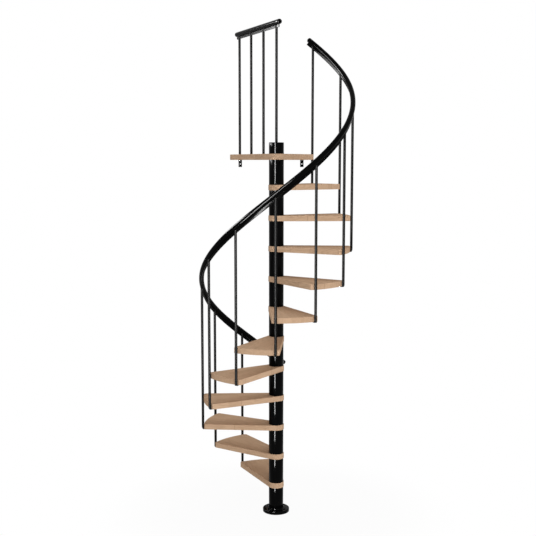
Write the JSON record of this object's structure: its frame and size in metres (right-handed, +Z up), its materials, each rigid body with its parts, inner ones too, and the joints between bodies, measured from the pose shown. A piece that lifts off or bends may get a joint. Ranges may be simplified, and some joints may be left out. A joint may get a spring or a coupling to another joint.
{
  "type": "spiral staircase",
  "caption": "Spiral staircase with a steel centre column, wedge-shaped wooden treads, a landing platform and black round handrails on tube balusters.",
  "frame": {"origin": "centre of the base flange's underside, on the column axis at floor level", "axes": "+Z up along the column; +Y towards the building that the landing platform meets; +X to the right seen from the open side; the stair climbs counter-clockwise seen from above"},
  "size_m": [1.1699, 1.2812, 3.7443],
  "materials": {
    "black_metal": "gloss",
    "black_satin": "satin",
    "bare_steel": "satin",
    "screw_steel": "satin",
    "wood": "satin",
    "rail_plastic": "gloss"
  },
  "bodies": {
    "root": {"base_flange": "black_metal", "core_tube": "bare_steel", "column_spacers": "black_metal", "column_top": "black_metal", "column_cap": "black_metal", "tread_01": "wood", "tread_02": "wood", "tread_03": "wood", "tread_04": "wood", "tread_05": "wood", "tread_06": "wood", "tread_07": "wood", "tread_08": "wood", "tread_09": "wood", "tread_10": "wood", "tread_11": "wood", "platform": "wood", "baluster_01": "black_satin", "baluster_02": "black_satin", "baluster_03": "black_satin", "baluster_04": "black_satin", "baluster_05": "black_satin", "baluster_06": "black_satin", "baluster_07": "black_satin", "baluster_08": "black_satin", "baluster_09": "black_satin", "baluster_10": "black_satin", "baluster_11": "black_satin", "baluster_feet": "black_satin", "foot_screws": "screw_steel", "stair_handrail": "rail_plastic", "stair_rail_strip": "black_metal", "landing_balusters": "black_satin", "landing_handrail": "rail_plastic", "landing_rail_strip": "black_metal", "landing_brackets": "black_metal", "bracket_screws": "screw_steel"}
  },
  "joints": []
}
